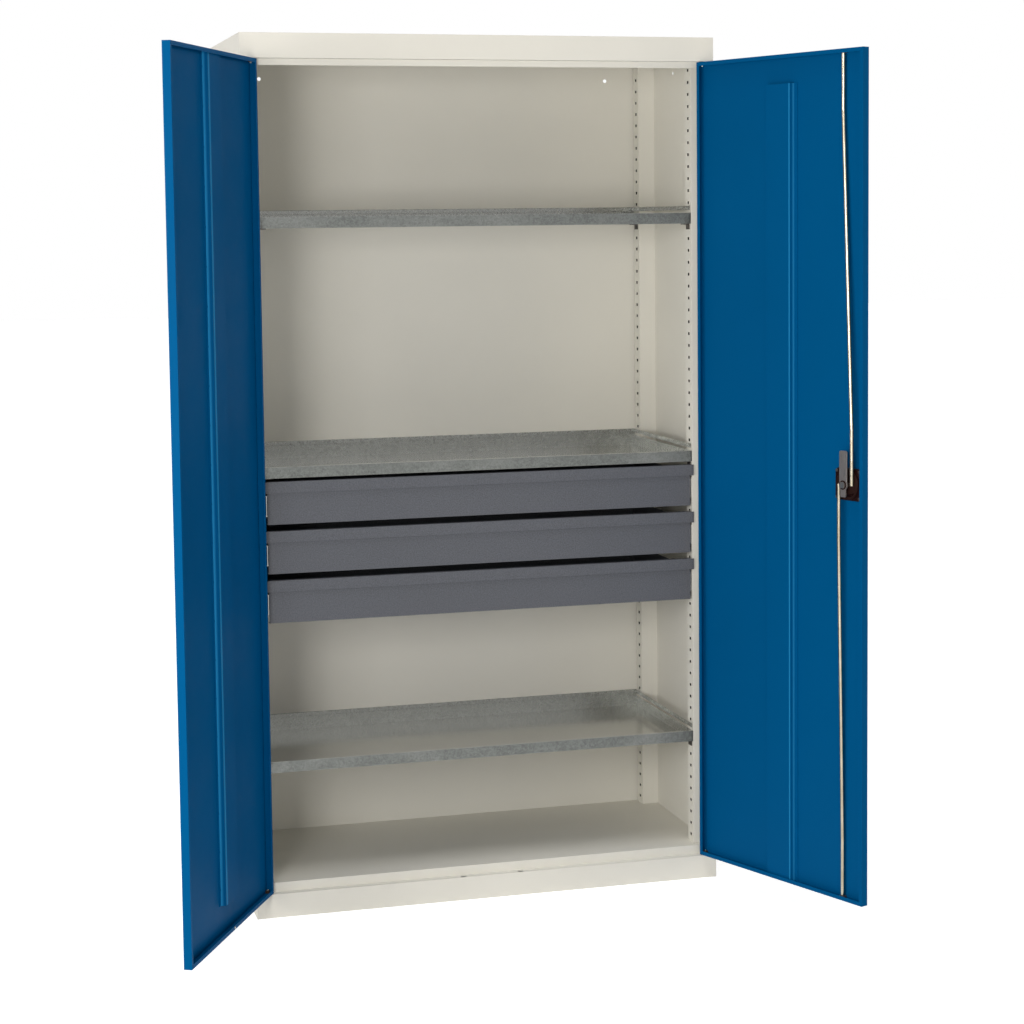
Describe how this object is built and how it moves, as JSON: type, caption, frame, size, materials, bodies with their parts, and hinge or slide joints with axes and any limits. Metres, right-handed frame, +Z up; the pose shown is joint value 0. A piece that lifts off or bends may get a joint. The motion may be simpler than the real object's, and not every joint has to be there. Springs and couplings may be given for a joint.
{
  "type": "tool cabinet with doors",
  "caption": "Upright sheet-steel tool cabinet: hinged doors with a turning rod lock, tray shelves on slotted posts and drawers on telescopic rails.",
  "frame": {"origin": "on the floor, in the middle of the carcass footprint (doors left out)", "axes": "+Z up; +X to the right of a person facing the doors; the doors are on the -Y side and the back panel on the +Y side"},
  "size_m": [1.3678, 0.8619, 1.8],
  "materials": {
    "carcass_paint": "warm light grey powder coat, slightly textured",
    "door_paint": "blue powder coat, slightly textured",
    "drawer_paint": "dark grey powder coat",
    "galvanised": "bare galvanised sheet with a fine spangle",
    "zinc_steel": "bright zinc plate",
    "dark_steel": "dark phosphated steel",
    "passivated_steel": "yellow passivated zinc plate",
    "lock_body": "black-brown enamel",
    "black_plastic": "moulded, fine grain",
    "natural_nylon": "unpigmented nylon",
    "cylinder": "bright chrome"
  },
  "bodies": {
    "cabinet": {"left_side_panel": "carcass_paint", "right_side_panel": "carcass_paint", "top_panel": "carcass_paint", "floor_pan": "carcass_paint", "back_panel": "carcass_paint", "front_left_post": "carcass_paint", "front_right_post": "carcass_paint", "rear_left_post": "carcass_paint", "rear_right_post": "carcass_paint", "hinge_pins": "zinc_steel", "upper_shelf": "galvanised", "upper_shelf_clips": "dark_steel", "middle_shelf": "galvanised", "middle_shelf_clips": "dark_steel", "lower_shelf": "galvanised", "lower_shelf_clips": "dark_steel", "drawer_1_fixed_rails": "zinc_steel", "drawer_2_fixed_rails": "zinc_steel", "drawer_3_fixed_rails": "zinc_steel"},
    "left_door": {"left_door_panel": "door_paint", "left_door_stiffener": "door_paint", "left_door_bushes": "natural_nylon"},
    "right_door": {"right_door_panel": "door_paint", "right_door_stiffener": "door_paint", "right_door_bushes": "natural_nylon", "lock_housing": "lock_body", "lock_rosette": "black_plastic", "rod_guides": "natural_nylon"},
    "lock_cam": {"lock_spindle": "zinc_steel", "scroll_cam": "dark_steel", "lock_hook": "zinc_steel", "hook_bolt": "zinc_steel", "door_knob": "black_plastic", "key_cylinder": "cylinder"},
    "upper_rod": {"upper_rod": "passivated_steel"},
    "lower_rod": {"lower_rod": "passivated_steel"},
    "drawer_1": {"drawer_1_front": "drawer_paint", "drawer_1_box": "drawer_paint", "drawer_1_inner_rails": "zinc_steel"},
    "drawer_2": {"drawer_2_front": "drawer_paint", "drawer_2_box": "drawer_paint", "drawer_2_inner_rails": "zinc_steel"},
    "drawer_3": {"drawer_3_front": "drawer_paint", "drawer_3_box": "drawer_paint", "drawer_3_inner_rails": "zinc_steel"},
    "middle_rails_1": {"drawer_1_middle_rails": "zinc_steel"},
    "middle_rails_2": {"drawer_2_middle_rails": "zinc_steel"},
    "middle_rails_3": {"drawer_3_middle_rails": "zinc_steel"}
  },
  "joints": [
    {"name": "left_door_hinge", "type": "hinge", "parent": "cabinet", "child": "left_door", "pos_m": [-0.4775, -0.205, 0.9], "axis": [0, 0, -1], "range_deg": [-117.5, 1.5]},
    {"name": "right_door_hinge", "type": "hinge", "parent": "cabinet", "child": "right_door", "pos_m": [0.4775, -0.205, 0.9], "axis": [0, 0, 1], "range_deg": [-111.5, 7.5]},
    {"name": "lock_turn", "type": "hinge", "parent": "right_door", "child": "lock_cam", "pos_m": [0.63583, -0.60694, 0.8935], "axis": [0.9304, 0.3665, 0], "range_deg": [0, 90]},
    {"name": "upper_rod_slide", "type": "slide", "parent": "right_door", "child": "upper_rod", "axis": [0, 0, 1], "range_m": [0, 0.0145]},
    {"name": "lower_rod_slide", "type": "slide", "parent": "right_door", "child": "lower_rod", "axis": [0, 0, -1], "range_m": [0, 0.0145]},
    {"name": "drawer_1_slide", "type": "slide", "parent": "cabinet", "child": "drawer_1", "axis": [0, -1, 0], "range_m": [0, 0.3]},
    {"name": "middle_rails_1_slide", "type": "slide", "parent": "cabinet", "child": "middle_rails_1", "axis": [0, -1, 0], "range_m": [0, 0.1505]},
    {"name": "drawer_2_slide", "type": "slide", "parent": "cabinet", "child": "drawer_2", "axis": [0, -1, 0], "range_m": [0, 0.3]},
    {"name": "middle_rails_2_slide", "type": "slide", "parent": "cabinet", "child": "middle_rails_2", "axis": [0, -1, 0], "range_m": [0, 0.1505]},
    {"name": "drawer_3_slide", "type": "slide", "parent": "cabinet", "child": "drawer_3", "axis": [0, -1, 0], "range_m": [0, 0.3]},
    {"name": "middle_rails_3_slide", "type": "slide", "parent": "cabinet", "child": "middle_rails_3", "axis": [0, -1, 0], "range_m": [0, 0.1505]}
  ],
  "couplings": [
    {"joint": "upper_rod_slide", "follows": "lock_turn", "m_per_rad": 0.0089127},
    {"joint": "lower_rod_slide", "follows": "lock_turn", "m_per_rad": 0.0089127},
    {"joint": "middle_rails_1_slide", "follows": "drawer_1_slide", "ratio": 0.5},
    {"joint": "middle_rails_2_slide", "follows": "drawer_2_slide", "ratio": 0.5},
    {"joint": "middle_rails_3_slide", "follows": "drawer_3_slide", "ratio": 0.5}
  ]
}
